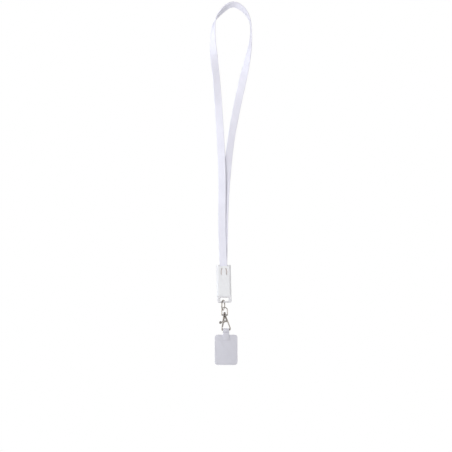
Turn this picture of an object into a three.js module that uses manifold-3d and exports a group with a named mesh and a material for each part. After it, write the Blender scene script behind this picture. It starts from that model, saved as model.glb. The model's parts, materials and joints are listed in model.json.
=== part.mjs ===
// Phone crossbody strap: a flat webbing loop whose two ends run into a plug
// housing, then a split ring, a swivel eye, a trigger snap hook and a tether
// tab. Millimetres, +Z up, the front faces -Y. The origin is the middle of the
// webbing's inner face at the top of the loop, where the strap hangs.
import * as THREE from 'three';
import Module from 'manifold-3d';
import { mergeVertices } from 'three/addons/utils/BufferGeometryUtils.js';

const wasm = await Module();
wasm.setup();

// Gaps between pieces
const clearance = 0.3;

// Webbing
const webWidth = 10;
const webThickness = 1.4;
const webEdge = 0.5; // rounded selvedge
const legGap = 0.5; // between the two legs in the mouth
const loopDrop = 344; // top of the loop to the mouth of the housing
const loopSpread = 50.3; // between the legs where they stand widest apart
const loopBulge = 8; // front to back between the legs there
const tailDepth = 9; // webbing inside the housing
const webStep = 6.5;

// Plug housing
const housingLean = 1.5; // degrees, its foot to the right
const sleeveWidth = 19;
const sleeveDepth = 9;
const sleeveHeight = 40.9;
const sleeveRound = 3; // upright edges
const sleeveBevel = 0.9; // round the mouth end
const mouthNotch = 1.4; // the front wall stands lower across the webbing
const grooveSpacing = 6.7;
const grooveDrop = 4.3; // mouth to the grooves
const grooveLength = 8.6;
const grooveWidth = 1.1;
const grooveDepth = 1.5;
const grooveBend = 1.3; // how far their upper ends lean in

// Hanger frame below the sleeve
const frameWidth = 18.8;
const frameDepth = 4.9; // at its foot
const frameTopDepth = 7.6;
const frameRound = 0.9; // rounding of its bars
const frameCorner = 2.2; // its two lower corners
const frameShoulder = 2; // seam to the window
const windowWidth = 11.2;
const windowHeight = 4.6;
const frameBar = 2.1; // the bar that the ring hangs on
const tongueWidth = 12;
const tongueDepth = 3.4;
const tongueHeight = 12;

// Split ring
const ringOuter = 14.6;
const ringWire = 1.2; // across the ring
const coilThickness = 0.72; // each of the two turns
const coilGap = 0.1;
const coilEdge = 0.22;
const ringTurn = 16; // degrees from edge-on
const ringLean = 1; // degrees, its foot to the left
const ringOffset = -1.45; // from the middle of the frame's bar
const ringJog = 62; // degrees that the wire takes to change turns
const ringStart = -50; // middle of that stretch, from the rear

// Swivel eye
const eyeWidth = 8.8;
const eyeWire = 1.4;
const eyeLegs = 7.1; // arch centre to the underside of the base
const eyeBase = 1.6;
const eyeBoss = 2.3; // radius round the stem
const eyeOffset = 1.9; // stem from the ring's foot

// Snap hook, measured from its shoulder on the stem's axis
const stemRadius = 0.85;
const stemHead = 1.6;
const stemHeadHeight = 2.7;
const hookHeight = 19.8;
const hookLeft = 4.1;
const hookRight = 8.1;
const hookDepth = 2.2;
const hookBevel = 0.35;
const limbWidth = 1.7;
const limbLean = 2.65; // the right limb leans in by this much below the cross web
const barHeight = 2.1;
const neckWidth = 3.6;
const webDrop = 8.2; // underside of the cross web
const windowDrop = 2.6; // top of the small triangular window
const windowFoot = 6.2;
const windowPeak = 0.45; // its three corners across
const windowLeft = -0.55;
const windowRight = 2.05;
const noseHeight = 2.25; // nose above the bar's top, where the gate closes

// Gate and its pin
const pivotLeft = 1.5;
const pivotDrop = 7.8;
const pinRadius = 0.5;
const hubRadius = 1.5;
const gateThickness = 1.6;
const gateWidth = 1.9;
const cheekThickness = 0.8;
const cheekRadius = 1.95;
const thumbRadius = 1.8;
const thumbReach = 4.1;
const thumbTilt = 14; // degrees below level
const thumbStem = 0.75;

// Tether tab
const tabThickness = 1;
const tabDrop = 8.4; // top of its loop to the edge of the pad
const padWidth = 30;
const padHeight = 40;
const padCorner = 4;
const padLap = 7; // the strip runs on over the pad
const tabSlack = 0.2; // under the bar, beyond the clearance

const degrees = THREE.MathUtils.degToRad;
const front = new THREE.Vector3(0, -1, 0);
const finish = {
  webbing: new THREE.MeshStandardMaterial({ color: 0xeceaf6, roughness: 0.8, metalness: 0 }),
  housing: new THREE.MeshStandardMaterial({ color: 0xe6e6e8, roughness: 0.4, metalness: 0 }),
  nickel: new THREE.MeshStandardMaterial({ color: 0xc8c1b8, roughness: 0.25, metalness: 1 }),
  tab: new THREE.MeshStandardMaterial({ color: 0xdadae2, roughness: 0.6, metalness: 0 }),
};

// Geometry helpers
function solidOf(geometry) {
  geometry.deleteAttribute('normal');
  geometry.deleteAttribute('uv');
  const merged = mergeVertices(geometry, 1e-4);
  const vertProperties = new Float32Array(merged.attributes.position.array);
  const triVerts = new Uint32Array(merged.index.array);
  return new wasm.Manifold(new wasm.Mesh({ numProp: 3, vertProperties, triVerts }));
}

function geometryOf(solid) {
  const mesh = solid.getMesh();
  const geometry = new THREE.BufferGeometry();
  geometry.setAttribute('position', new THREE.BufferAttribute(mesh.vertProperties, 3));
  geometry.setIndex(new THREE.BufferAttribute(mesh.triVerts, 1));
  return geometry;
}

function piece(name, solid, material) {
  const geometry = solid.isBufferGeometry ? solid : geometryOf(solid);
  const mesh = new THREE.Mesh(geometry, material);
  mesh.name = name;
  return mesh;
}

// A closed solid through a row of frames; the outline runs counterclockwise
// seen from the end, on each frame's side and face directions.
function sweep(frames, outline) {
  const count = outline.length;
  const last = (frames.length - 1) * count;
  const positions = [];
  const triangles = [];
  for (const { centre, side, face } of frames) {
    for (const { across, out } of outline) {
      positions.push(...centre.clone().addScaledVector(side, across).addScaledVector(face, out));
    }
  }
  for (let ring = 0; ring < last; ring += count) {
    for (let j = 0; j < count; j += 1) {
      const a = ring + j;
      const b = ring + ((j + 1) % count);
      triangles.push(a, b, b + count, a, b + count, a + count);
    }
  }
  for (let j = 1; j < count - 1; j += 1) {
    triangles.push(0, j + 1, j, last, last + j, last + j + 1);
  }
  const geometry = new THREE.BufferGeometry();
  geometry.setAttribute('position', new THREE.Float32BufferAttribute(positions, 3));
  geometry.setIndex(triangles);
  return geometry;
}

function softRectangle(width, thickness, edge) {
  const side = width / 2;
  const face = thickness / 2;
  const near = { side: side - edge, face: face * 0.4 };
  return [
    { across: side, out: near.face }, { across: near.side, out: face },
    { across: -near.side, out: face }, { across: -side, out: near.face },
    { across: -side, out: -near.face }, { across: -near.side, out: -face },
    { across: near.side, out: -face }, { across: side, out: -near.face },
  ];
}

function roundOutline(radius, sides) {
  return Array.from({ length: sides }, (_, i) => {
    const angle = (i / sides) * 2 * Math.PI;
    return { across: radius * Math.cos(angle), out: radius * Math.sin(angle) };
  });
}

// A closed outline whose corners are arcs, each of its own radius.
function roundedShape(corners) {
  const points = corners.map(({ x, y }) => new THREE.Vector2(x, y));
  const steps = 5;
  return corners.flatMap(({ round = 0 }, i) => {
    const corner = points[i];
    const before = points.at(i - 1).clone().sub(corner);
    const after = points[(i + 1) % points.length].clone().sub(corner);
    const room = 0.48 * Math.min(before.length(), after.length());
    const half = Math.acos(before.normalize().dot(after.normalize())) / 2;
    const radius = Math.min(round, room * Math.tan(half));
    if (radius < 0.01) {
      return [corner];
    }
    const inward = before.clone().add(after).normalize();
    const middle = corner.clone().addScaledVector(inward, radius / Math.sin(half));
    const start = corner.clone().addScaledVector(before, radius / Math.tan(half)).sub(middle);
    const sense = Math.sign(-before.cross(after)) || 1;
    const bend = sense * (Math.PI - 2 * half);
    return Array.from({ length: steps + 1 }, (_, k) => (
      start.clone().rotateAround(new THREE.Vector2(), (k / steps) * bend).add(middle)
    ));
  });
}

function rectangle(width, low, high, round) {
  const half = width / 2;
  return [
    { x: -half, y: low, round }, { x: half, y: low, round },
    { x: half, y: high, round }, { x: -half, y: high, round },
  ];
}

// An outline in X and Z, as thick as depth and centred on y.
function plate(corners, depth, { bevel = 0, holes = [], y = 0 } = {}) {
  const shape = new THREE.Shape(roundedShape(corners));
  shape.holes = holes.map((hole) => new THREE.Path(roundedShape(hole)));
  const geometry = new THREE.ExtrudeGeometry(shape, {
    depth: depth - 2 * bevel, steps: 1, bevelEnabled: bevel > 0, bevelThickness: bevel,
    bevelSize: bevel, bevelOffset: -bevel, bevelSegments: 2,
  });
  return solidOf(geometry.rotateX(Math.PI / 2).translate(0, y + depth / 2 - bevel, 0));
}

// An outline in X and Y, from one height to another.
function column(corners, low, high, bevel = 0) {
  const geometry = new THREE.ExtrudeGeometry(new THREE.Shape(roundedShape(corners)), {
    depth: high - low - 2 * bevel, steps: 1, bevelEnabled: bevel > 0, bevelThickness: bevel,
    bevelSize: bevel, bevelOffset: -bevel, bevelSegments: 2,
  });
  return solidOf(geometry.translate(0, 0, low + bevel));
}

// A round bar from front to back.
function crossBar(radius, depth, x, z, sides = 20) {
  return solidOf(new THREE.CylinderGeometry(radius, radius, depth, sides).translate(x, 0, z));
}

// The webbing's way round the loop, from inside the mouth up the left leg, over
// the top and down the right leg. across is a share of the spread and down of
// the drop, both from the top; back is a share of the bulge, lay says in front
// of (-1) or behind (1) the other leg, and turn is the twist in degrees.
const loopRows = [
  { across: -0.261, down: 1.000, back: 0.00, lay: -1.0, turn: 0 },
  { across: -0.291, down: 0.904, back: -0.01, lay: -1.0, turn: 3 },
  { across: -0.299, down: 0.808, back: -0.02, lay: -1.0, turn: 5 },
  { across: -0.294, down: 0.712, back: -0.03, lay: -1.0, turn: 8 },
  { across: -0.300, down: 0.636, back: -0.05, lay: -1.0, turn: 9 },
  { across: -0.336, down: 0.520, back: -0.12, lay: -1.0, turn: 8 },
  { across: -0.385, down: 0.405, back: -0.24, lay: -1.0, turn: 2 },
  { across: -0.444, down: 0.290, back: -0.38, lay: -1.0, turn: -7 },
  { across: -0.501, down: 0.214, back: -0.46, lay: -1.0, turn: -2 },
  { across: -0.529, down: 0.168, back: -0.50, lay: -1.0, turn: 29 },
  { across: -0.534, down: 0.137, back: -0.50, lay: -1.0, turn: 46 },
  { across: -0.527, down: 0.098, back: -0.46, lay: -0.9, turn: 60 },
  { across: -0.499, down: 0.071, back: -0.40, lay: -0.8, turn: 78 },
  { across: -0.430, down: 0.049, back: -0.30, lay: -0.6, turn: 102 },
  { across: -0.302, down: 0.026, back: -0.18, lay: -0.4, turn: 123 },
  { across: -0.147, down: 0.007, back: -0.07, lay: -0.2, turn: 133 },
  { across: 0.000, down: 0.000, back: 0.00, lay: 0.0, turn: 139 },
  { across: 0.176, down: 0.010, back: 0.12, lay: 0.2, turn: 136 },
  { across: 0.326, down: 0.032, back: 0.24, lay: 0.4, turn: 119 },
  { across: 0.441, down: 0.067, back: 0.38, lay: 0.7, turn: 97 },
  { across: 0.465, down: 0.114, back: 0.48, lay: 0.9, turn: 98 },
  { across: 0.420, down: 0.175, back: 0.50, lay: 1.0, turn: 120 },
  { across: 0.333, down: 0.237, back: 0.46, lay: 1.0, turn: 146 },
  { across: 0.249, down: 0.290, back: 0.40, lay: 1.0, turn: 163 },
  { across: 0.079, down: 0.405, back: 0.26, lay: 1.0, turn: 178 },
  { across: -0.063, down: 0.520, back: 0.13, lay: 1.0, turn: 187 },
  { across: -0.155, down: 0.636, back: 0.06, lay: 1.0, turn: 181 },
  { across: -0.201, down: 0.712, back: 0.03, lay: 1.0, turn: 175 },
  { across: -0.231, down: 0.808, back: 0.02, lay: 1.0, turn: 173 },
  { across: -0.247, down: 0.904, back: 0.01, lay: 1.0, turn: 175 },
  { across: -0.261, down: 1.000, back: 0.00, lay: 1.0, turn: 180 },
];
const topTurn = degrees(loopRows.find((row) => row.down === 0).turn);
const mouth = new THREE.Vector3(loopRows[0].across * loopSpread, 0, -loopDrop);
const housingTurn = new THREE.Euler(0, -degrees(housingLean), 0);

// A place in the housing, from the middle of its mouth.
function inHousing(x, y, z) {
  return new THREE.Vector3(x, y, z).applyEuler(housingTurn).add(mouth);
}

// A smooth value between rows, with slopes taken from the neighbouring rows.
function between(places, values, at) {
  const next = places.findIndex((place) => place > at);
  const i = next < 1 ? places.length - 2 : next - 1;
  const slope = (k) => {
    const low = Math.max(k - 1, 0);
    const high = Math.min(k + 1, places.length - 1);
    return (values[high] - values[low]) / (places[high] - places[low]);
  };
  const span = places[i + 1] - places[i];
  const t = (at - places[i]) / span;
  const rise = values[i + 1] - values[i];
  const startPull = slope(i) * span - rise;
  const endPull = rise - slope(i + 1) * span;
  return values[i] + t * rise + t * (1 - t) * ((1 - t) * startPull + t * endPull);
}

function webbingFrames() {
  const legOffset = (webThickness + legGap) / 2;
  const stations = loopRows.map(({ across, down, back, lay, turn }) => ({
    point: new THREE.Vector3(
      across * loopSpread, lay * legOffset + back * loopBulge, -down * loopDrop,
    ),
    turn: degrees(turn),
  }));
  stations.unshift({ point: inHousing(0, -legOffset, -tailDepth), turn: stations[0].turn });
  stations.push({ point: inHousing(0, legOffset, -tailDepth), turn: stations.at(-1).turn });

  const places = [0];
  for (let i = 1; i < stations.length; i += 1) {
    places.push(places[i - 1] + stations[i].point.distanceTo(stations[i - 1].point));
  }
  const coordinates = ['x', 'y', 'z'].map((axis) => stations.map(({ point }) => point[axis]));
  const turns = stations.map(({ turn }) => turn);
  const pointAt = (at) => new THREE.Vector3(...coordinates.map((values) => between(places, values, at)));

  const length = places.at(-1);
  const steps = Math.round(length / webStep);
  return Array.from({ length: steps + 1 }, (_, i) => {
    const at = (i / steps) * length;
    const nudge = 0.01;
    const behind = pointAt(Math.max(at - nudge, 0));
    const ahead = pointAt(Math.min(at + nudge, length));
    const along = ahead.sub(behind).normalize();
    const outward = new THREE.Vector3(-along.z, 0, along.x).normalize();
    const turn = between(places, turns, at);
    const side = outward.multiplyScalar(Math.cos(turn)).addScaledVector(front, -Math.sin(turn));
    side.addScaledVector(along, -side.dot(along)).normalize();
    return { centre: pointAt(at), side, face: along.clone().cross(side) };
  });
}

function strap() {
  const outline = softRectangle(webWidth, webThickness, webEdge);
  return piece('strap', sweep(webbingFrames(), outline), finish.webbing);
}

// Housing pieces, from the middle of the mouth
const mouthWidth = webWidth + 2 * clearance + 0.2;
const mouthGape = 2 * webThickness + legGap + 2 * clearance;

function groove(side) {
  const middle = side * grooveSpacing / 2;
  const top = -grooveDrop;
  const foot = top - grooveLength;
  const half = grooveWidth / 2;
  const lean = middle - side * grooveBend;
  const bow = middle + side * grooveBend * 0.25;
  const outer = side * half;
  const corners = [
    { x: lean - outer * 0.4, y: top, round: half }, { x: bow - outer, y: top - grooveLength * 0.36, round: 1 },
    { x: middle - outer, y: foot, round: half }, { x: middle + outer, y: foot, round: half },
    { x: bow + outer, y: top - grooveLength * 0.36, round: 1 }, { x: lean + outer, y: top, round: half },
  ];
  const cut = grooveDepth + 1;
  return plate(side > 0 ? corners : corners.reverse(), cut, { y: -sleeveDepth / 2 + grooveDepth - cut / 2 });
}

function plugSleeve() {
  const plan = rectangle(sleeveWidth, -sleeveDepth / 2, sleeveDepth / 2, sleeveRound);
  const over = 1;
  const slot = column(
    rectangle(mouthWidth, -mouthGape / 2, mouthGape / 2, 0.4), -tailDepth - clearance, over,
  );
  const notch = column(
    rectangle(mouthWidth, -sleeveDepth / 2 - over, 0, 0), -mouthNotch, over,
  );
  const socketWidth = tongueWidth + 2 * clearance;
  const socketDepth = tongueDepth + 2 * clearance;
  const socket = column(
    rectangle(socketWidth, -socketDepth / 2, socketDepth / 2, 0.4),
    -sleeveHeight - over, -sleeveHeight + tongueHeight + clearance,
  );
  const shell = column(plan, -sleeveHeight - sleeveRound, 0, sleeveBevel);
  let solid = shell.trimByPlane([0, 0, 1], -sleeveHeight);
  solid = solid.subtract(slot).subtract(notch).subtract(socket);
  for (const side of [-1, 1]) {
    solid = solid.subtract(groove(side));
  }
  return piece('plug_sleeve', solid, finish.housing);
}

const frameTop = -sleeveHeight - clearance;
const windowTop = -sleeveHeight - frameShoulder - clearance;
const windowBottom = windowTop - windowHeight;
const frameBottom = windowBottom - frameBar;

// The frame grows deeper towards the sleeve
function frameSwell(z) {
  return 1 + (frameTopDepth / frameDepth - 1) * (z - frameBottom) / (frameTop - frameBottom);
}

function hangerFrame() {
  const outer = rectangle(frameWidth, frameBottom, frameTop + frameCorner, frameCorner);
  const window = rectangle(windowWidth, windowBottom, windowTop, 0.8);
  const tongue = column(
    rectangle(tongueWidth, -tongueDepth / 2, tongueDepth / 2, 0.4),
    frameTop - frameRound, -sleeveHeight + tongueHeight,
  );
  const body = plate(outer, frameDepth, { bevel: frameRound, holes: [window] });
  const tapered = body.trimByPlane([0, 0, -1], -frameTop).warp((point) => {
    point[1] *= frameSwell(point[2]);
  });
  return piece('hanger_frame', tapered.add(tongue), finish.housing);
}

// Split ring: it hangs on the frame's bar
const ringInner = ringOuter / 2 - ringWire;
const ringThickness = 2 * coilThickness + coilGap;
const turned = degrees(ringTurn);
const barDepth = frameDepth * frameSwell(windowBottom);
const barReach = (barDepth / 2 - frameRound) / Math.cos(turned)
  + (ringThickness / 2) * Math.tan(turned);
const ringRise = Math.sqrt((ringInner - clearance - frameRound) ** 2 - barReach ** 2) + frameRound;
const ringDown = new THREE.Vector3(0, 0, -1).applyEuler(new THREE.Euler(0, degrees(ringLean), 0));
const ringCentre = inHousing(ringOffset, 0, windowBottom).addScaledVector(ringDown, ringRise);
const ringFoot = ringCentre.clone().addScaledVector(ringDown, ringInner - clearance);

function splitRing() {
  const pitch = coilThickness + coilGap;
  const middle = ringOuter / 2 - ringWire / 2;
  const jog = degrees(ringJog);
  const jogMiddle = 2 * Math.PI;
  const endAngle = 4 * Math.PI - jog / 2;
  const steps = 60;
  const start = degrees(ringStart);
  const frames = Array.from({ length: steps + 1 }, (_, i) => {
    const angle = jog / 2 + (i / steps) * (endAngle - jog / 2);
    const through = THREE.MathUtils.clamp((angle - jogMiddle) / jog + 0.5, 0, 1);
    const shift = (THREE.MathUtils.smoothstep(through, 0, 1) - 0.5) * pitch;
    const side = new THREE.Vector3(0, Math.cos(angle + start), Math.sin(angle + start));
    const centre = side.clone().multiplyScalar(middle).setX(shift);
    return { centre, side, face: new THREE.Vector3(-1, 0, 0) };
  });
  const outline = softRectangle(ringWire, coilThickness, coilEdge);
  const mesh = piece('split_ring', sweep(frames, outline), finish.nickel);
  mesh.position.copy(ringCentre);
  mesh.rotation.set(0, degrees(ringLean), -turned);
  return mesh;
}

// Swivel eye: its arch hangs on the foot of the ring
const archRadius = eyeWidth / 2 - eyeWire / 2;
const archInner = archRadius - eyeWire / 2;
const ringReach = Math.abs(eyeOffset) + ringThickness / 2 + Math.sin(turned) * eyeWire / 2;
const archDrop = Math.sqrt(archInner ** 2 - ringReach ** 2);
const eyeCentre = ringFoot.clone().add(new THREE.Vector3(eyeOffset, 0, -archDrop));

function swivelEye() {
  const arch = 14;
  const frames = [];
  const left = new THREE.Vector3(-1, 0, 0);
  frames.push({ centre: new THREE.Vector3(-archRadius, 0, -eyeLegs + eyeBase / 2), side: left, face: front });
  for (let i = 0; i <= arch; i += 1) {
    const angle = Math.PI * (1 - i / arch);
    const side = new THREE.Vector3(Math.cos(angle), 0, Math.sin(angle));
    frames.push({ centre: side.clone().multiplyScalar(archRadius), side, face: front });
  }
  frames.push({
    centre: new THREE.Vector3(archRadius, 0, -eyeLegs + eyeBase / 2),
    side: left.clone().negate(), face: front,
  });
  const wire = solidOf(sweep(frames, roundOutline(eyeWire / 2, 10)));
  const low = -eyeLegs;
  const high = low + eyeBase;
  const bar = column(rectangle(eyeWidth, -eyeWire * 0.75, eyeWire * 0.75, eyeWire * 0.7), low, high, 0.3);
  const upright = (radius, over) => solidOf(
    new THREE.CylinderGeometry(radius, radius, eyeBase + 2 * over, 20)
      .rotateX(Math.PI / 2).translate(0, 0, (low + high) / 2),
  );
  const solid = wire.add(bar).add(upright(eyeBoss, 0)).subtract(upright(stemRadius + clearance, 1));
  const mesh = piece('swivel_eye', solid, finish.nickel);
  mesh.position.copy(eyeCentre);
  return mesh;
}

// Snap hook: its stem turns in the eye's base
const shoulder = new THREE.Vector3(eyeCentre.x, 0, eyeCentre.z - eyeLegs - clearance);
const barTop = -hookHeight + barHeight;
const pivot = { x: -pivotLeft, z: -pivotDrop };
const slotWidth = gateThickness + 2 * clearance;
const cheekDepth = slotWidth + 2 * cheekThickness;
const noseTop = barTop + noseHeight;
const noseInner = -hookLeft + limbWidth;
const innerRight = hookRight - limbWidth;
const neckRight = neckWidth / 2 + 0.3;
const widestLevel = barTop + 1.8;
const headRight = neckRight + (hookRight - neckRight) * (webDrop / -widestLevel);

function stem() {
  const foot = -1; // inside the body
  const seat = eyeBase + 2 * clearance;
  const top = seat + stemHeadHeight;
  const profile = [
    [0, foot], [stemRadius, foot], [stemRadius, seat], [stemHead, seat], [stemHead, seat + 0.9],
    [stemHead * 0.8, top - 0.5], [stemHead * 0.45, top], [0, top],
  ];
  const points = profile.map(([radius, height]) => new THREE.Vector2(radius, height));
  return solidOf(new THREE.LatheGeometry(points, 20).rotateX(Math.PI / 2));
}

function hookBody() {
  const headLeft = [
    { x: -neckWidth / 2, y: 0, round: 0.6 },
    { x: pivot.x - cheekRadius * 0.75, y: pivot.z + 1, round: 0.8 },
    { x: pivot.x, y: -webDrop, round: 0.8 },
  ];
  const shoulderRight = { x: neckRight, y: 0, round: 0.8 };
  const outer = [
    ...headLeft,
    { x: innerRight - limbLean, y: -webDrop, round: 0.6 },
    { x: innerRight, y: barTop + 2.3, round: 1.2 },
    { x: innerRight - 0.1, y: barTop, round: 0.6 },
    { x: noseInner, y: barTop, round: 0.5 },
    { x: noseInner, y: noseTop, round: 0.6 },
    { x: -hookLeft, y: noseTop, round: 0.6 },
    { x: -hookLeft, y: -hookHeight, round: 2.6 },
    { x: hookRight - 0.5, y: -hookHeight, round: 3.4 },
    { x: hookRight, y: widestLevel, round: 1.6 },
    shoulderRight,
  ];
  const peep = [
    { x: windowPeak, y: -windowDrop, round: 0.3 },
    { x: windowLeft, y: -windowFoot, round: 0.4 },
    { x: windowRight, y: -windowFoot, round: 0.4 },
  ];
  const limbs = plate(outer, hookDepth, { bevel: hookBevel, holes: [peep] });
  const head = plate(
    [...headLeft, { x: headRight, y: -webDrop, round: 0.6 }, shoulderRight],
    cheekDepth, { bevel: hookBevel, holes: [peep] },
  );
  return limbs.add(head);
}

function snapHook() {
  const cheeks = crossBar(cheekRadius, cheekDepth, pivot.x, pivot.z);
  const slot = crossBar(cheekRadius + 0.25, slotWidth, pivot.x, pivot.z, 24);
  const bore = crossBar(pinRadius + clearance, cheekDepth + 1, pivot.x, pivot.z);
  const solid = hookBody().add(stem()).add(cheeks).subtract(slot).subtract(bore);
  return piece('snap_hook', solid, finish.nickel);
}

function gatePin() {
  return piece('gate_pin', crossBar(pinRadius, cheekDepth, pivot.x, pivot.z, 16), finish.nickel);
}

// The gate's free end is an arc about the pivot that clears the nose
const gateReach = Math.hypot(noseInner - pivot.x, noseTop - pivot.z) - clearance;
const gateFoot = { x: -(hookLeft + -noseInner) / 2, z: pivot.z - gateReach };

function gateLever() {
  const bar = new THREE.Vector2(gateFoot.x - pivot.x, gateFoot.z - pivot.z).normalize();
  const across = new THREE.Vector2(-bar.y, bar.x).multiplyScalar(gateWidth / 2);
  const long = gateReach + 1;
  const corner = (side, along) => ({
    x: pivot.x + side * across.x + along * bar.x, y: pivot.z + side * across.y + along * bar.y,
  });
  const strip = plate([corner(-1, 0), corner(-1, long), corner(1, long), corner(1, 0)], gateThickness);
  const sweepDisc = crossBar(gateReach, gateThickness + 1, pivot.x, pivot.z, 72);
  const tilt = degrees(thumbTilt);
  const thumb = {
    x: pivot.x - thumbReach * Math.cos(tilt), z: pivot.z - thumbReach * Math.sin(tilt),
  };
  const ball = solidOf(new THREE.SphereGeometry(thumbRadius, 16, 10).translate(thumb.x, 0, thumb.z));
  const neck = solidOf(
    new THREE.CylinderGeometry(thumbStem, thumbStem, thumbReach, 12)
      .rotateZ(Math.PI / 2).translate(-thumbReach / 2, 0, 0)
      .rotateY(-tilt).translate(pivot.x, 0, pivot.z),
  );
  const hub = crossBar(hubRadius, gateThickness, pivot.x, pivot.z);
  const bore = crossBar(pinRadius + clearance, gateThickness + 1, pivot.x, pivot.z, 16);
  const solid = strip.intersect(sweepDisc).add(neck).add(hub).subtract(bore).add(ball);
  return piece('gate_lever', solid, finish.nickel);
}

// Tether tab: a strip looped round the hook's bar, and the pad that it ends in
const loopInner = hookDepth / 2 + clearance;
const loopOuter = loopInner + tabThickness;
const loopTop = barTop + clearance + tabThickness;
const loopFoot = -hookHeight - clearance - tabSlack;
const padTop = loopTop - tabDrop;
const tabLeft = noseInner + clearance;
const tabRight = innerRight - clearance;

function tetherTab() {
  const joint = loopFoot - 2 * tabThickness;
  const outer = [
    { x: -loopOuter, y: loopTop, round: loopInner }, { x: -loopOuter, y: loopFoot, round: 1.2 },
    { x: -tabThickness, y: joint, round: 0.8 }, { x: -tabThickness, y: padTop - padLap, round: 0.3 },
    { x: tabThickness, y: padTop - padLap }, { x: tabThickness, y: joint, round: 0.8 },
    { x: loopOuter, y: loopFoot, round: 1.2 }, { x: loopOuter, y: loopTop, round: loopInner },
  ];
  const inner = rectangle(2 * loopInner, loopFoot, barTop + clearance, 0.5);
  const profile = new THREE.Shape(roundedShape(outer));
  profile.holes = [new THREE.Path(roundedShape(inner))];
  const toSide = new THREE.Matrix4().makeBasis(
    new THREE.Vector3(0, 1, 0), new THREE.Vector3(0, 0, 1), new THREE.Vector3(1, 0, 0),
  );
  const width = tabRight - tabLeft;
  const strip = new THREE.ExtrudeGeometry(profile, { depth: width, steps: 1, bevelEnabled: false });
  strip.applyMatrix4(toSide).translate(tabLeft, 0, 0);
  const middle = (tabLeft + tabRight) / 2;
  const pad = plate(rectangle(padWidth, padTop - padHeight, padTop, padCorner), tabThickness, {
    y: tabThickness / 2,
  }).translate([middle, 0, 0]);
  return piece('tether_tab', solidOf(strip).add(pad), finish.tab);
}

const housing = new THREE.Group();
housing.position.copy(mouth);
housing.rotation.copy(housingTurn);
housing.add(plugSleeve(), hangerFrame());

const hook = new THREE.Group();
hook.position.copy(shoulder);
hook.add(snapHook(), gatePin(), gateLever(), tetherTab());

// The webbing's inner face, not its middle, passes through the origin
const group = new THREE.Group();
group.position.set(0, -Math.cos(topTurn), Math.sin(topTurn)).multiplyScalar(webThickness / 2);
group.add(strap(), housing, splitRing(), swivelEye(), hook);

export default group;
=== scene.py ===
# Crossbody strap: looks of the webbing, housing, ring, hook and tab round the fixed frame.
# Pieces are modelled in millimetres and settled in metres at the end.
import json
import math
from bisect import bisect_right

import bpy
from mathutils import Euler, Matrix, Vector


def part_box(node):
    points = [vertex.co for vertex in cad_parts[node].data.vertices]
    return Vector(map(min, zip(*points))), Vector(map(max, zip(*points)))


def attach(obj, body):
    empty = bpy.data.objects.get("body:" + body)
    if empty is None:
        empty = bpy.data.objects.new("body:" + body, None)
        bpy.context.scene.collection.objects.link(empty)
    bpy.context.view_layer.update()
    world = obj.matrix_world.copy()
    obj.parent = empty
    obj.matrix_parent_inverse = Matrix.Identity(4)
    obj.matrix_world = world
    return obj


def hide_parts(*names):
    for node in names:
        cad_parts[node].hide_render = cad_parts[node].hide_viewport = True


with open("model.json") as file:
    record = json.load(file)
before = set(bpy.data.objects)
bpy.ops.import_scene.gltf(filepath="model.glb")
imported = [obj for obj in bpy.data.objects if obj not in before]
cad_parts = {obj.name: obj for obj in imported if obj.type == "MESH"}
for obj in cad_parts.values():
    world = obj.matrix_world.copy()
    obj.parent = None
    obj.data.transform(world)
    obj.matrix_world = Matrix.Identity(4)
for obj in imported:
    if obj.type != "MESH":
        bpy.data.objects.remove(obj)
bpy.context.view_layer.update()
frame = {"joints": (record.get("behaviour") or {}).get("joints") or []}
mm = 0.001

# camera: straight on, no perspective, 1.32 mm to a pixel of the 452 pixel frame
view = {"mmPerPixel": 1.32, "frame": 452, "originPixel": (233.4, 4.7), "distance": 1.4}

cameraData = bpy.data.cameras.new("photoCamera")
cameraData.type = "ORTHO"
cameraData.ortho_scale = view["frame"] * view["mmPerPixel"] * mm
cameraData.clip_end = 20
camera = bpy.data.objects.new("photoCamera", cameraData)
bpy.context.collection.objects.link(camera)
centre = view["frame"] / 2
camera.location = (
    (centre - view["originPixel"][0]) * view["mmPerPixel"] * mm,
    -view["distance"],
    (view["originPixel"][1] - centre) * view["mmPerPixel"] * mm,
)
camera.rotation_euler = (math.pi / 2, 0, 0)
bpy.context.scene.camera = camera


# shader maths on sockets
class Socket:
    def __init__(self, shader, source):
        self.shader = shader
        self.source = source

    def maths(self, operation, other=0.0):
        return self.shader.node("ShaderNodeMath", {"operation": operation}, {0: self, 1: other})

    def __add__(self, other):
        return self.maths("ADD", other)

    def __sub__(self, other):
        return self.maths("SUBTRACT", other)

    def __rsub__(self, other):
        return self.shader.node("ShaderNodeMath", {"operation": "SUBTRACT"}, {0: other, 1: self})

    def __mul__(self, other):
        return self.maths("MULTIPLY", other)

    def __truediv__(self, other):
        return self.maths("DIVIDE", other)

    __radd__ = __add__
    __rmul__ = __mul__


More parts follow.
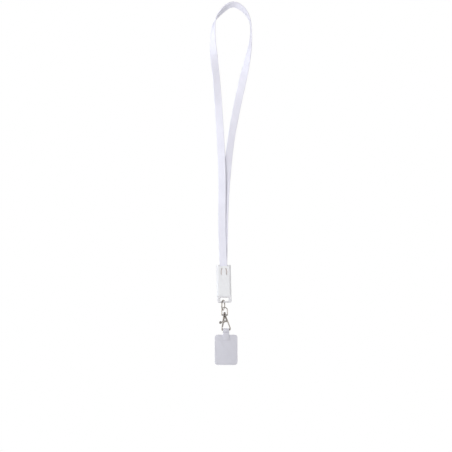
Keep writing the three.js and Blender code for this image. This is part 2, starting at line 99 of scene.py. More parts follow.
class Shader:
    def __init__(self, name=None, tree=None):
        if tree is None:
            self.material = bpy.data.materials.new(name)
            self.material.use_nodes = True
            tree = self.material.node_tree
            self.surface = tree.nodes["Principled BSDF"]
        self.tree = tree

    def node(self, kind, settings=None, inputs=None, output=0):
        made = self.tree.nodes.new(kind)
        for key, value in (settings or {}).items():
            setattr(made, key, value)
        for key, value in (inputs or {}).items():
            self.put(made.inputs[key], value)
        return Socket(self, made.outputs[output]) if made.outputs else None

    def put(self, socket, value):
        if isinstance(value, Socket):
            self.tree.links.new(value.source, socket)
        else:
            socket.default_value = value

    def finish(self, **values):
        for key, value in values.items():
            self.put(self.surface.inputs[key.replace("_", " ")], value)
        return self.material

    def place(self):
        return self.node("ShaderNodeTexCoord", output="Object")

    def axis(self, where, name):
        return self.node("ShaderNodeSeparateXYZ", None, {"Vector": where}, name)

    def noise(self, where, scale, detail=2.0, rough=0.5):
        return self.node("ShaderNodeTexNoise", None, {
            "Vector": where, "Scale": scale, "Detail": detail, "Roughness": rough}, "Fac")

    def ramp(self, value, start, end):
        return self.node("ShaderNodeMapRange", {"interpolation_type": "SMOOTHSTEP"}, {
            "Value": value, "From Min": start, "From Max": end})

    def blend(self, amount, low, high):
        return self.node("ShaderNodeMix", {"data_type": "RGBA"}, {0: amount, 6: low, 7: high}, 2)

    def bump(self, height, strength, distance):
        return self.node("ShaderNodeBump", None, {
            "Height": height, "Strength": strength, "Distance": distance}, "Normal")


def srgb(red, green, blue):
    def linear(value):
        share = value / 255
        return share / 12.92 if share <= 0.04045 else ((share + 0.055) / 1.055) ** 2.4
    return (linear(red), linear(green), linear(blue), 1.0)


# finishes: the weave is in millimetres, other sizes in metres, and noise is counted per metre
webbingLook = {
    "yarn": srgb(246, 245, 254), "gap": srgb(211, 210, 223), "warp": 0.46, "pick": 0.62,
    "bump": 0.4, "relief": 0.06 * mm, "roughness": 0.82,
}
tabLook = {
    "yarn": srgb(218, 217, 225), "gap": srgb(195, 194, 202), "warp": 0.32, "pick": 0.4,
    "bump": 0.4, "relief": 0.05 * mm, "roughness": 0.6,
}
cloth = {  # fibres and patches per millimetre, and how high a yarn stays where it goes under
    "fuzz": 3.1, "clouds": 0.05, "under": 0.45, "yarnHeight": 0.8, "fuzzHeight": 0.35,
    "raisedTone": 0.75, "cloudTone": 0.35, "fuzzRoughness": 0.08,
    "specular": 0.25, "sheen": 0.15, "sheenRoughness": 0.6,
}


def weaveHeight(shader, where, look):
    across = shader.axis(where, "X") / look["warp"]
    along = shader.axis(where, "Y") / look["pick"]
    column = across.maths("FLOOR")
    inYarn = across.maths("FRACT")
    ridge = (inYarn * math.pi).maths("SINE")
    over = ((along + column * 0.5) * (2 * math.pi)).maths("SINE") * 0.5 + 0.5
    return ridge * (over * (1 - cloth["under"]) + cloth["under"])


def webbingMaterial(name, look):
    shader = Shader(name)
    where = shader.node("ShaderNodeAttribute", {"attribute_name": "weave"}, output="Vector")
    height = weaveHeight(shader, where, look)
    fuzz = shader.noise(where, cloth["fuzz"], 4.0, 0.6)
    cloudy = shader.noise(where, cloth["clouds"])
    raised = height * cloth["yarnHeight"] + fuzz * cloth["fuzzHeight"]
    tone = (raised * cloth["raisedTone"] + cloudy * cloth["cloudTone"]).maths("MINIMUM", 1.0)
    return shader.finish(
        Base_Color=shader.blend(tone, look["gap"], look["yarn"]),
        Roughness=look["roughness"] - fuzz * cloth["fuzzRoughness"],
        Normal=shader.bump(raised, look["bump"], look["relief"]),
        Specular_IOR_Level=cloth["specular"],
        Sheen_Weight=cloth["sheen"],
        Sheen_Roughness=cloth["sheenRoughness"],
    )


plasticLook = {
    "sleeve": (srgb(228, 228, 230), srgb(238, 238, 240)),
    # the frame: the sleeve's white plastic painted a little darker, as painted shade on the frame
    # recessed below the sleeve
    "frame": (srgb(221, 220, 223), srgb(231, 230, 233)),
    "roughness": 0.36, "cloudRoughness": 0.1, "grainRoughness": 0.05, "ior": 1.49,
    "clouds": 60, "grain": 2600, "bump": 0.25, "relief": 0.012 * mm,
    # painted shade for the two grooves: its colour, and how deep and where it is painted
    "grooveShade": srgb(216, 205, 200), "grooveShadeDepth": (-3.8 * mm, -3.0 * mm),
    "grooveShadeReach": {  # middle and half size of the region that holds the two grooves
        "X": (-12.6 * mm, 5.4 * mm), "Y": (-3.0 * mm, 1.2 * mm), "Z": (-352.5 * mm, 5.5 * mm)},
}


def plasticMaterial(name, deep, light):
    shader = Shader(name)
    where = shader.place()
    grain = shader.noise(where, plasticLook["grain"], 2.0, 0.6)
    cloudy = shader.noise(where, plasticLook["clouds"])
    tone = shader.blend(cloudy, deep, light)
    # painted shade in the two grooves, below the front face: their walls and floors are painted darker
    # and warmer
    grooveShade = shader.ramp(shader.axis(where, "Y"), *plasticLook["grooveShadeDepth"])
    for axisName, (middle, half) in plasticLook["grooveShadeReach"].items():
        away = (shader.axis(where, axisName) - middle).maths("ABSOLUTE")
        grooveShade = grooveShade * away.maths("LESS_THAN", half)
    return shader.finish(
        Base_Color=shader.blend(grooveShade, tone, plasticLook["grooveShade"]),
        Roughness=(
            plasticLook["roughness"] + cloudy * plasticLook["cloudRoughness"]
            + grain * plasticLook["grainRoughness"]),
        Normal=shader.bump(grain, plasticLook["bump"], plasticLook["relief"]),
        IOR=plasticLook["ior"],
    )


nickelLook = {
    "bright": srgb(226, 219, 211), "dull": srgb(200, 190, 182),
    "roughness": 0.1, "castRoughness": 0.12, "scratchRoughness": 0.08,
    "cast": 420, "castHeight": 0.8, "scratch": 3600, "scratchHeight": 0.2,
    "scratchStretch": (1.0, 1.0, 0.12), "bump": 0.3, "relief": 0.008 * mm,
}


def nickelMaterial(name, spot=None):
    # spot: a place in metres where a painted dark reflection darkens the metal, with its reach and its
    # tone
    shader = Shader(name)
    where = shader.place()
    cast = shader.noise(where, nickelLook["cast"], 3.0, 0.55)
    stretched = shader.node("ShaderNodeMapping", None, {
        "Vector": where, "Scale": nickelLook["scratchStretch"]})
    scratch = shader.noise(stretched, nickelLook["scratch"], 2.0, 0.7)
    tone = shader.blend(cast, nickelLook["dull"], nickelLook["bright"])
    if spot:
        away = shader.node(
            "ShaderNodeVectorMath", {"operation": "DISTANCE"}, {0: where, 1: spot["place"]}, "Value")
        tone = shader.blend(shader.ramp(away, *spot["reach"]), spot["tone"], tone)
    height = cast * nickelLook["castHeight"] + scratch * nickelLook["scratchHeight"]
    return shader.finish(
        Base_Color=tone,
        Metallic=1.0,
        Roughness=(
            nickelLook["roughness"] + cast * nickelLook["castRoughness"]
            + scratch * nickelLook["scratchRoughness"]),
        Normal=shader.bump(height, nickelLook["bump"], nickelLook["relief"]),
    )


# modelling helpers
def only(obj):
    bpy.ops.object.select_all(action="DESELECT")
    obj.select_set(True)
    bpy.context.view_layer.objects.active = obj


def named(name):
    obj = bpy.context.object
    obj.name = name
    obj.data.name = name
    return obj


def chooseEdges(obj, test):
    # selects the edges whose two ends pass a test
    bpy.ops.object.mode_set(mode="OBJECT")
    mesh = obj.data
    for group in (mesh.vertices, mesh.edges, mesh.polygons):
        for element in group:
            element.select = False
    for edge in mesh.edges:
        edge.select = test(*[mesh.vertices[i].co for i in edge.vertices])
    bpy.ops.object.mode_set(mode="EDIT")
    bpy.ops.mesh.select_mode(type="EDGE")


def finishEdit():
    bpy.ops.object.mode_set(mode="OBJECT")


def modify(obj, kind, **settings):
    only(obj)
    modifier = obj.modifiers.new(kind.lower(), kind)
    for key, value in settings.items():
        setattr(modifier, key, value)
    bpy.ops.object.modifier_apply(modifier=modifier.name)


def easeEdges(obj, width, segments):
    sharp = math.radians(50)
    modify(obj, "BEVEL", width=width, segments=segments, limit_method="ANGLE", angle_limit=sharp)


def cut(obj, cutter, operation="DIFFERENCE", **settings):
    modify(obj, "BOOLEAN", operation=operation, object=cutter, solver="EXACT", **settings)
    bpy.data.objects.remove(cutter)


def tidyMesh(obj, gap=0.0005):
    # welds doubles and turns the faces outwards
    only(obj)
    bpy.ops.object.mode_set(mode="EDIT")
    bpy.ops.mesh.select_all(action="SELECT")
    bpy.ops.mesh.remove_doubles(threshold=gap)
    bpy.ops.mesh.normals_make_consistent(inside=False)
    finishEdit()


def smoothShade(obj, angle, flat=False):
    only(obj)
    bpy.ops.object.shade_smooth_by_angle(angle=math.radians(angle))
    if flat:
        # wide flat faces keep their own light beside small bevels
        modify(obj, "WEIGHTED_NORMAL", mode="FACE_AREA", weight=100, keep_sharp=True)


def block(name, size, low, high, corner=0.0, segments=1):
    # a block from one height to another, with its four upright edges rounded
    bpy.ops.mesh.primitive_cube_add(size=1, location=(0, 0, (low + high) / 2))
    obj = named(name)
    obj.scale = (size[0], size[1], high - low)
    only(obj)
    bpy.ops.object.transform_apply(location=True, rotation=True, scale=True)
    if corner > 0:
        chooseEdges(obj, lambda a, b: abs(a.z - b.z) > 1e-3)
        bpy.ops.mesh.bevel(offset=corner, segments=segments, profile=0.5, affect="EDGES")
        finishEdit()
    return obj


def softenRims(obj, heights, offset, segments):
    # rounds the edges that run round the given heights
    def onRim(a, b):
        return any(abs(a.z - h) < 1e-3 and abs(b.z - h) < 1e-3 for h in heights)
    chooseEdges(obj, onRim)
    bpy.ops.mesh.bevel(offset=offset, segments=segments, profile=0.5, affect="EDGES")
    finishEdit()


def rolled(name, stations, outline, weave=None):
    # a grid rolled into a closed bar: its rows follow the stations, its columns the outline
    around = len(outline)
    bpy.ops.mesh.primitive_grid_add(x_subdivisions=around, y_subdivisions=len(stations) - 1, size=2)
    obj = named(name)
    mesh = obj.data
    attribute = mesh.attributes.new("weave", "FLOAT_VECTOR", "POINT") if weave else None
    for vertex in mesh.vertices:
        column = round((vertex.co.x + 1) / 2 * around) % around
        row = round((vertex.co.y + 1) / 2 * (len(stations) - 1))
        station = stations[row]
        across, out = outline[column]
        vertex.co = station["centre"] + station["side"] * across + station["face"] * out
        if attribute:
            attribute.data[vertex.index].vector = weave(across, out, station["at"])
    tidyMesh(obj)
    closeEnds(obj)
    return obj


def closeEnds(obj):
    only(obj)
    bpy.ops.object.mode_set(mode="EDIT")
    bpy.ops.mesh.select_mode(type="EDGE")
    bpy.ops.mesh.select_all(action="DESELECT")
    bpy.ops.mesh.select_non_manifold()
    bpy.ops.mesh.fill_holes(sides=0)
    bpy.ops.mesh.select_all(action="SELECT")
    bpy.ops.mesh.normals_make_consistent(inside=False)
    finishEdit()


def standUp(obj, place):
    # stands a piece that was built lying down, with its middle at a place
    obj.data.transform(Matrix.Translation(place) @ Matrix.Rotation(math.pi / 2, 4, "X"))


def settle(obj, place=(0, 0, 0), turn=(0, 0, 0)):
    # millimetres to metres, with the place in the mesh
    matrix = Matrix.Translation(Vector(place) * mm) @ Euler(turn).to_matrix().to_4x4()
    obj.data.transform(matrix @ Matrix.Scale(mm, 4))
    obj.data.update()


def dress(obj, material, body, slot, *nodes):
    obj.data.materials.clear()
    obj.data.materials.append(material)
    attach(obj, body)
    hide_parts(*nodes)


def castCopy(node, name, voxel, passes, swell):
    # a fused copy of a frame piece, with its facets and edges softened as in a casting
    source = bpy.data.objects[node]
    mesh = source.data.copy()
    obj = bpy.data.objects.new(name, mesh)
    bpy.context.collection.objects.link(obj)
    mesh.name = name
    mesh.transform(source.matrix_world)
    mesh.transform(Matrix.Scale(1 / mm, 4))
    tidyMesh(obj, 0.002)
    modify(obj, "REMESH", mode="VOXEL", voxel_size=voxel)
    modify(obj, "SMOOTH", factor=0.5, iterations=passes)
    modify(obj, "DISPLACE", strength=swell, mid_level=0.0)
    only(obj)
    bpy.ops.object.shade_smooth()
    return obj


# webbing: the rows that the frame's strap follows, with a little more twist between them
webbing = {
    "width": 10.0, "thickness": 1.4, "legGap": 0.5, "drop": 344.0, "spread": 50.3, "bulge": 8.0,
    "tail": 9.0, "lean": 1.5, "step": 1.6, "columns": 22, "waveFall": 1.6,
    "bead": 0.05, "beadInset": 0.62, "beadReach": 0.35, "edgeRound": 0.5,
}
loopRows = [  # shares across, down and back, lay from the front leg to the back leg, turn in degrees
    (-0.261, 1.000, 0.00, -1.0, 0), (-0.291, 0.904, -0.01, -1.0, -2),
    (-0.299, 0.808, -0.02, -1.0, 3), (-0.294, 0.712, -0.03, -1.0, 8),
    (-0.300, 0.636, -0.05, -1.0, 9), (-0.336, 0.520, -0.12, -1.0, 8),
    (-0.385, 0.405, -0.24, -1.0, 2), (-0.444, 0.290, -0.38, -1.0, -20),
    (-0.501, 0.214, -0.46, -1.0, -9), (-0.529, 0.168, -0.50, -1.0, 29),
    (-0.534, 0.137, -0.50, -1.0, 46), (-0.527, 0.098, -0.46, -0.9, 60),
    (-0.499, 0.071, -0.40, -0.8, 78), (-0.430, 0.049, -0.30, -0.6, 102),
    (-0.302, 0.026, -0.18, -0.4, 123), (-0.147, 0.007, -0.07, -0.2, 133),
    (0.000, 0.000, 0.00, 0.0, 139), (0.176, 0.010, 0.12, 0.2, 136),
    (0.326, 0.032, 0.24, 0.4, 119), (0.441, 0.067, 0.38, 0.7, 97),
    (0.465, 0.114, 0.48, 0.9, 98), (0.420, 0.175, 0.50, 1.0, 120),
    (0.333, 0.237, 0.46, 1.0, 146), (0.249, 0.290, 0.40, 1.0, 173),
    (0.079, 0.405, 0.26, 1.0, 187), (-0.063, 0.520, 0.16, 1.0, 198),
    (-0.155, 0.636, 0.11, 1.0, 195), (-0.201, 0.712, 0.05, 1.0, 181),
    (-0.231, 0.808, 0.02, 1.0, 173), (-0.247, 0.904, 0.01, 1.0, 175),
    (-0.261, 1.000, 0.00, 1.0, 180),
]
topTurn = math.radians(next(row[4] for row in loopRows if row[1] == 0))
# the underside of the webbing hangs on the origin
hang = Vector((0, -math.cos(topTurn), math.sin(topTurn))) * (webbing["thickness"] / 2)
waves = [  # height of the middle, half length, push to the front: slight kinks left by folding
    (-100.0, 34.0, 1.2), (-140.0, 26.0, -0.8), (-188.0, 30.0, 0.7),
    (-236.0, 34.0, -0.5), (-285.0, 30.0, 0.4),
]
mouth = Vector((loopRows[0][0] * webbing["spread"], 0, -webbing["drop"]))
leanTurn = (0, -math.radians(webbing["lean"]), 0)


def inHousing(x, y, z):
    return Euler(leanTurn).to_matrix() @ Vector((x, y, z)) + mouth


def between(places, values, at):
    # a smooth value between rows, with slopes taken from the neighbouring rows
    i = min(max(bisect_right(places, at) - 1, 0), len(places) - 2)

    def slope(k):
        low, high = max(k - 1, 0), min(k + 1, len(places) - 1)
        return (values[high] - values[low]) / (places[high] - places[low])
    span = places[i + 1] - places[i]
    t = (at - places[i]) / span
    rise = values[i + 1] - values[i]
    startPull = slope(i) * span - rise
    endPull = rise - slope(i + 1) * span
    return values[i] + t * rise + t * (1 - t) * ((1 - t) * startPull + t * endPull)


def webbingStations():
    legOffset = (webbing["thickness"] + webbing["legGap"]) / 2
    points = [inHousing(0, -legOffset, -webbing["tail"])]
    for across, down, back, lay, turn in loopRows:
        depth = lay * legOffset + back * webbing["bulge"]
        points.append(Vector((across * webbing["spread"], depth, -down * webbing["drop"])))
    points.append(inHousing(0, legOffset, -webbing["tail"]))
    turns = [math.radians(row[4]) for row in loopRows]
    turns = [turns[0], *turns, turns[-1]]
    places = [0.0]
    for before, after in zip(points, points[1:]):
        places.append(places[-1] + (after - before).length)
    columns = [[point[axis] for point in points] for axis in range(3)]

    def pointAt(at):
        point = Vector([between(places, column, at) for column in columns])
        point.y -= sum(
            push * math.exp(-((point.z - middle) / half * webbing["waveFall"]) ** 2)
            for middle, half, push in waves)
        return point
    length = places[-1]
    steps = round(length / webbing["step"])
    near = 0.01
    stations = []
    for i in range(steps + 1):
        at = i / steps * length
        along = (pointAt(min(at + near, length)) - pointAt(max(at - near, 0))).normalized()
        outward = Vector((-along.z, 0, along.x)).normalized()
        turn = between(places, turns, at)
        side = outward * math.cos(turn) + Vector((0, math.sin(turn), 0))
        side = (side - along * side.dot(along)).normalized()
        stations.append({"centre": pointAt(at), "side": side, "face": along.cross(side), "at": at})
    return stations


def webbingOutline():
    # flat faces, with a bead of thicker yarn just inside each edge
    half = webbing["width"] / 2
    flat = webbing["thickness"] / 2 - webbing["bead"]
    faces = []
    for i in range(webbing["columns"] + 1):
        across = half * math.cos(math.pi * i / webbing["columns"])
        inside = half - abs(across)
        swell = webbing["bead"] * math.exp(-((inside - webbing["beadInset"]) / webbing["beadReach"]) ** 2)
        edge = math.sqrt(1 - (1 - min(inside / webbing["edgeRound"], 1.0)) ** 2)
        faces.append((across, (flat + swell) * edge))
    top = [point for point in faces if point[1] > 0.01]
    return [(half, 0.0), *top, (-half, 0.0), *[(x, -y) for x, y in reversed(top)]]


def buildWebbing():
    obj = rolled("webbingLoop", webbingStations(), webbingOutline(), lambda x, y, at: (x, at, 0))
    smoothShade(obj, 50)
    settle(obj, hang)
    dress(obj, webbingMaterial("wovenWebbing", webbingLook), "root", "webbing", "strap")


buildWebbing()
print("webbing woven and hung")

# housing: the sleeve with its mouth, notch and two curved grooves
sleeve = {
    "width": 19.0, "depth": 9.0, "height": 40.9, "corner": 3.0, "rim": 0.9, "ease": 0.14,
    "clearance": 0.3, "notch": 1.4, "mouthRoom": 0.3,
}
groove = {
    "spacing": 7.5, "offset": 0.45, "drop": 4.3, "length": 8.6, "width": 1.1, "depth": 1.5,
    "bend": 1.5, "bendEnd": 0.42, "bendFall": 1.8, "flare": 0.35, "corner": 0.3,
}
frameBar = {
    "width": 18.8, "depth": 4.9, "topDepth": 7.6, "corner": 2.2, "round": 0.9, "shoulder": 2.0,
    "window": (11.2, 4.6), "windowCorner": 0.9, "bar": 2.1, "seam": 0.03, "tongue": (12.0, 3.4, 12.0),
}
cutterCorner = 0.4


def grooveCutter(side):
    stations = []
    steps = 24
    top = -groove["drop"]
    for i in range(steps + 1):
        share = i / steps
        bow = groove["bend"] * (1 - min(share / groove["bendEnd"], 1)) ** groove["bendFall"]
        bow += groove["flare"] * share ** 3
        middle = groove["offset"] + side * (groove["spacing"] / 2 - bow)
        stations.append(Vector((middle, -sleeve["depth"] / 2, top - share * groove["length"])))
    frames = []
    for i, point in enumerate(stations):
        along = (stations[min(i + 1, steps)] - stations[max(i - 1, 0)]).normalized()
        face = Vector((0, -1, 0))
        frames.append({"centre": point, "side": face.cross(along), "face": face, "at": i})
    half = groove["width"] / 2
    deep = groove["depth"]
    corner = groove["corner"]
    outline = [
        (half, corner - deep), (half, 2), (-half, 2), (-half, corner - deep),
        (corner - half, -deep), (half - corner, -deep),
    ]
    return rolled("grooveCutter", frames, outline)


def buildSleeve():
    room = sleeve["clearance"]
    size = (sleeve["width"], sleeve["depth"])
    body = block("plugHousing", size, -sleeve["height"], 0, sleeve["corner"], 10)
    softenRims(body, (0,), sleeve["rim"], 5)
    mouthWidth = webbing["width"] + sleeve["mouthRoom"]
    gape = 2 * webbing["thickness"] + webbing["legGap"] + sleeve["mouthRoom"]
    cut(body, block("mouthCutter", (mouthWidth, gape), -webbing["tail"] - room, 1, cutterCorner, 3))
    notch = block("notchCutter", (mouthWidth, sleeve["depth"]), -sleeve["notch"], 1)
    notch.data.transform(Matrix.Translation((0, -sleeve["depth"] / 2, 0)))
    cut(body, notch)
    tongue = frameBar["tongue"]
    cut(body, block(
        "socketCutter", (tongue[0] + 2 * room, tongue[1] + 2 * room),
        -sleeve["height"] - 1, -sleeve["height"] + tongue[2] + room, cutterCorner, 3))
    for side in (-1, 1):
        cut(body, grooveCutter(side))
    tidyMesh(body)
    easeEdges(body, sleeve["ease"], 2)
    smoothShade(body, 35, True)
    settle(body, mouth + hang, leanTurn)
    white = plasticMaterial("whitePlastic", *plasticLook["sleeve"])
    dress(body, white, "root", "housing", "plug_sleeve")


def frameSwell(z, foot, top):
    # the frame grows deeper towards the sleeve
    return 1 + (frameBar["topDepth"] / frameBar["depth"] - 1) * (z - foot) / (top - foot)


def buildFrame():
    room = sleeve["clearance"]
    top = -sleeve["height"] - room
    windowTop = top - frameBar["shoulder"]
    windowFoot = windowTop - frameBar["window"][1]
    foot = windowFoot - frameBar["bar"]
    # built lying down and too tall, so that its four corners are the upright edges
    high = top + frameBar["corner"]
    half = frameBar["depth"] / 2
    body = block("hangerFrame", (frameBar["width"], high - foot), -half, half, frameBar["corner"], 8)
    window = block("windowCutter", frameBar["window"], -2 * half, 2 * half, frameBar["windowCorner"], 5)
    window.data.transform(Matrix.Translation((0, (windowTop + windowFoot - high - foot) / 2, 0)))
    cut(body, window)
    tidyMesh(body)
    easeEdges(body, frameBar["round"] * 0.9, 5)
    standUp(body, (0, 0, (high + foot) / 2))
    seam = -sleeve["height"] - frameBar["seam"]
    cut(body, block("topCutter", (sleeve["width"] + 2, sleeve["depth"]), seam, high + 1))
    for vertex in body.data.vertices:
        vertex.co.y *= frameSwell(vertex.co.z, foot, top)
    width, depth, height = frameBar["tongue"]
    tongue = block(
        "tongue", (width, depth), top - frameBar["round"], -sleeve["height"] + height, cutterCorner, 3)
    cut(body, tongue, "UNION")
    tidyMesh(body)
    smoothShade(body, 35, True)
    settle(body, mouth + hang, leanTurn)
    # white plastic with painted shade for the recessed frame
    framePaintedShade = plasticMaterial("framePaintedShadePlastic", *plasticLook["frame"])
    dress(body, framePaintedShade, "root", "housing", "hanger_frame")


buildSleeve()
buildFrame()
print("housing moulded")

# split ring: two flat turns of wire that change places in one jog
ring = {
    "outer": 14.6, "wire": 1.2, "coil": 0.72, "gap": 0.1, "turn": 16.0, "lean": 1.0, "offset": -1.45,
    "jog": 62.0, "start": -50.0, "steps": 220, "sides": 20, "squareAcross": 0.7, "squareOut": 0.55,
}


def ringPlace():
    inner = ring["outer"] / 2 - ring["wire"]
    room = sleeve["clearance"]
    turned = math.radians(ring["turn"])
    thickness = 2 * ring["coil"] + ring["gap"]
    top = -sleeve["height"] - room
    windowFoot = top - frameBar["shoulder"] - frameBar["window"][1]
    barDepth = frameBar["depth"] * frameSwell(windowFoot, windowFoot - frameBar["bar"], top)
    barReach = (barDepth / 2 - frameBar["round"]) / math.cos(turned) + thickness / 2 * math.tan(turned)
    rise = math.sqrt((inner - room - frameBar["round"]) ** 2 - barReach ** 2) + frameBar["round"]
    down = Euler((0, math.radians(ring["lean"]), 0)).to_matrix() @ Vector((0, 0, -1))
    return inHousing(ring["offset"], 0, windowFoot) + down * rise


def buildRing():
    jog = math.radians(ring["jog"])
    first = jog / 2
    last = 4 * math.pi - jog / 2
    middle = (ring["outer"] - ring["wire"]) / 2
    stations = []
    for i in range(ring["steps"] + 1):
        angle = first + (last - first) * i / ring["steps"]
        through = min(max((angle - 2 * math.pi) / jog + 0.5, 0), 1)
        shift = (through * through * (3 - 2 * through) - 0.5) * (ring["coil"] + ring["gap"])
        spot = angle + math.radians(ring["start"])
        side = Vector((0, math.cos(spot), math.sin(spot)))
        centre = side * middle + Vector((shift, 0, 0))
        stations.append({"centre": centre, "side": side, "face": Vector((-1, 0, 0)), "at": i})
    # wire that is squarer than round
    outline = []
    for i in range(ring["sides"]):
        angle = 2 * math.pi * i / ring["sides"]
        across = math.copysign(abs(math.cos(angle)) ** ring["squareAcross"], math.cos(angle))
        out = math.copysign(abs(math.sin(angle)) ** ring["squareOut"], math.sin(angle))
        outline.append((across * ring["wire"] / 2, out * ring["coil"] / 2))
    obj = rolled("splitRing", stations, outline)
    smoothShade(obj, 45)
    obj.data.transform(Matrix.Rotation(-math.radians(ring["turn"]), 4, "Z"))
    settle(obj, ringPlace() + hang, (0, math.radians(ring["lean"]), 0))
    dress(obj, nickelPlate, "root", "nickel", "split_ring")


nickelPlate = nickelMaterial("nickelPlate")
buildRing()
print("split ring wound")

# castings: swivel eye, hook, gate
castings = [
    # node, name, body, voxel, smoothing passes, swell
    ("swivel_eye", "swivelEye", "root", 0.09, 14, 0.05),
    ("snap_hook", "snapHook", "hook", 0.09, 48, 0.12),
    ("gate_lever", "gateLever", "gate", 0.08, 14, 0.05),
    ("gate_pin", "gatePin", "hook", 0.06, 4, 0.01),
]
gateLow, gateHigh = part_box("gate_lever")
stem = next(joint for joint in frame["joints"] if joint["name"] == "swivel")["pos_m"]
# painted dark reflection on the gate's thumb ball, where the polished metal mirrors the dim studio front
ballReflection = nickelMaterial("ballReflectionNickel", {
    "place": (gateLow[0] + 1.8 * mm, (gateLow[1] + gateHigh[1]) / 2, gateHigh[2] - 2.7 * mm),
    "reach": (1.9 * mm, 3.4 * mm), "tone": srgb(176, 169, 163)})
# painted dark reflection on the stem and the foot of the swivel eye, where the metal mirrors the dim
# studio front
stemReflection = nickelMaterial("stemReflectionNickel", {
    "place": (stem[0], stem[1], stem[2] + 1.2 * mm),
    "reach": (2.6 * mm, 4.6 * mm), "tone": srgb(150, 143, 138)})
platings = {"gate_lever": ballReflection, "snap_hook": stemReflection, "swivel_eye": stemReflection}
for node, name, body, voxel, passes, swell in castings:
    piece = castCopy(node, name, voxel, passes, swell)
    settle(piece)
    dress(piece, platings.get(node, nickelPlate), body, "nickel", node)
print("castings cleaned and plated")

# tether tab: a strip round the hook's bar, and its pad
tab = {
    "left": -2.1, "right": 6.1, "thickness": 1.0, "edge": 0.3, "step": 0.35,
    "loop": 1.4, "top": -16.4, "foot": -20.3, "joint": -22.3, "lap": 7.0, "press": 0.02,
    "padTop": -24.8, "pad": (30.0, 40.0), "corner": 4.0, "rim": 0.25,
}


def tabPath():
    # middle line of the strip in Y and Z, from the pad up the front, over the bar and down the back
    mid = tab["loop"] + tab["thickness"] / 2
    flat = tab["thickness"] / 2 - tab["press"]
    crown = tab["top"] - tab["thickness"] / 2
    knots = [
        (-flat, tab["padTop"] - tab["lap"]), (-flat, tab["padTop"]), (-flat, tab["joint"] - 0.4),
        (-flat - 0.25, tab["joint"] + 0.5), (-mid + 0.25, tab["foot"] - 0.6), (-mid, tab["foot"] + 0.6),
        (-mid, crown - mid * 0.56), (-mid * 0.85, crown - mid * 0.15), (-mid * 0.48, crown),
    ]
    return knots + [(0.0, crown)] + [(-y, z) for y, z in reversed(knots)]


def tabStations(middle):
    knots = tabPath()
    places = [0.0]
    for before, after in zip(knots, knots[1:]):
        places.append(places[-1] + math.dist(before, after))
    length = places[-1]
    depths, heights = zip(*knots)

    def spot(at):
        at = min(max(at, 0), length)
        return Vector((middle, between(places, depths, at), between(places, heights, at)))
    side = Vector((-1, 0, 0))
    steps = round(length / tab["step"])
    near = 0.02
    stations = []
    for i in range(steps + 1):
        at = length * i / steps
        along = (spot(at + near) - spot(at - near)).normalized()
        stations.append({"centre": spot(at), "side": side, "face": along.cross(side), "at": at})
    return stations


def tabOutline():
    # a flat strip with softened corners
    half = (tab["right"] - tab["left"]) / 2
    thin = tab["thickness"] / 2
    outline = []
    for x, y in ((half, thin), (-half, thin), (-half, -thin), (half, -thin)):
        inX, inY = math.copysign(tab["edge"], x), math.copysign(tab["edge"] * 0.9, y)
        near = [(x, y - inY), (x - inX * 0.3, y - inY * 0.3), (x - inX, y)]
        outline += near if x * y > 0 else near[::-1]
    return outline


def buildTab():
    middle = (tab["left"] + tab["right"]) / 2
    strip = rolled("tetherTab", tabStations(middle), tabOutline())
    pad = block("tabPad", tab["pad"], 0, tab["thickness"], tab["corner"], 10)
    softenRims(pad, (0, tab["thickness"]), tab["rim"], 3)
    standUp(pad, (middle, tab["thickness"], tab["padTop"] - tab["pad"][1] / 2))
    cut(strip, pad, "UNION", use_self=True)
    tidyMesh(strip)
    places = strip.data.attributes.new("weave", "FLOAT_VECTOR", "POINT")
    for vertex in strip.data.vertices:
        places.data[vertex.index].vector = (vertex.co.x, vertex.co.z, 0)
    smoothShade(strip, 35)
    settle(strip, [value / mm for value in stem])
    dress(strip, webbingMaterial("coatedTape", tabLook), "hook", "tab", "tether_tab")


buildTab()
print("tether tab folded over the bar")

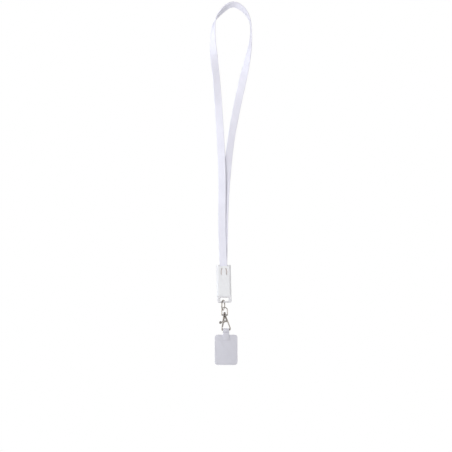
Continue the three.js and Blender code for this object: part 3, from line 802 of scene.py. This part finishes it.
# studio: white to the camera, bright panels at both sides, soft lamps that metal doesn't mirror
studio = {
    "floor": -0.62, "floorSize": 6.0, "floorPatches": 3.0,
    "floorTones": ((0.8, 0.8, 0.8, 1), (0.84, 0.84, 0.84, 1)),
    "dim": 0.36, "softShare": 0.5,
    "panels": 1.15, "panelShift": 0.12, "panelStart": (0.25, 0.6), "panelTop": (0.3, 0.7),
    "aim": (0, 0, -0.2),
}
lamps = [  # name, power, place, size, colour
    ("key", 52.0, (-1.25, -2.5, 0.55), 1.5, (1, 1, 1)),
    ("right", 6.0, (1.9, -0.6, 0.7), 0.8, (1, 1, 1)),
    ("side", 15.0, (-2.7, -0.35, 0.2), 1.0, (0.72, 0.84, 1.0)),
    ("low", 2.0, (0.3, -1.3, -0.9), 0.8, (1, 1, 1)),
    ("back", 38.0, (0.7, 2.7, -0.2), 1.5, (1, 1, 1)),
    ("top", 15.0, (0.3, 1.9, 2.2), 2.0, (1, 1, 1)),
]


def addLamps():
    for name, power, place, size, colour in lamps:
        data = bpy.data.lights.new(name, "AREA")
        data.shape = "DISK"
        data.energy = power
        data.size = size
        data.color = colour
        lamp = bpy.data.objects.new(name, data)
        bpy.context.collection.objects.link(lamp)
        lamp.location = place
        lamp.visible_glossy = False
        lamp.rotation_euler = (Vector(studio["aim"]) - Vector(place)).to_track_quat("-Z", "Y").to_euler()


def paintWorld():
    world = bpy.context.scene.world or bpy.data.worlds.new("studio")
    bpy.context.scene.world = world
    world.use_nodes = True
    shader = Shader(tree=world.node_tree)
    shader.tree.nodes.clear()
    way = shader.node("ShaderNodeTexCoord", output="Generated")
    aside = (shader.axis(way, "X") - studio["panelShift"]).maths("ABSOLUTE")
    high = shader.axis(way, "Z").maths("ABSOLUTE")
    panel = shader.ramp(aside, *studio["panelStart"]) * (1 - shader.ramp(high, *studio["panelTop"]))
    glossy = shader.node("ShaderNodeLightPath", output="Is Glossy Ray")
    share = glossy * (1 - studio["softShare"]) + studio["softShare"]
    room = shader.node("ShaderNodeBackground", None, {
        "Strength": (panel * studio["panels"] + studio["dim"]) * share})
    backdrop = shader.node("ShaderNodeBackground", None, {"Color": (1, 1, 1, 1)})
    toCamera = shader.node("ShaderNodeLightPath", output="Is Camera Ray")
    mixed = shader.node("ShaderNodeMixShader", None, {0: toCamera, 1: room, 2: backdrop})
    shader.node("ShaderNodeOutputWorld", None, {"Surface": mixed})


def layFloor():
    bpy.ops.mesh.primitive_plane_add(size=studio["floorSize"], location=(0, 0, studio["floor"]))
    floor = named("studioFloor")
    shader = Shader("paleFloor")
    patches = shader.noise(shader.place(), studio["floorPatches"])
    floor.data.materials.append(shader.finish(
        Base_Color=shader.blend(patches, *studio["floorTones"]), Roughness=0.9))


layFloor()
addLamps()
paintWorld()
bpy.context.scene.view_settings.view_transform = "Standard"
print("studio lit")
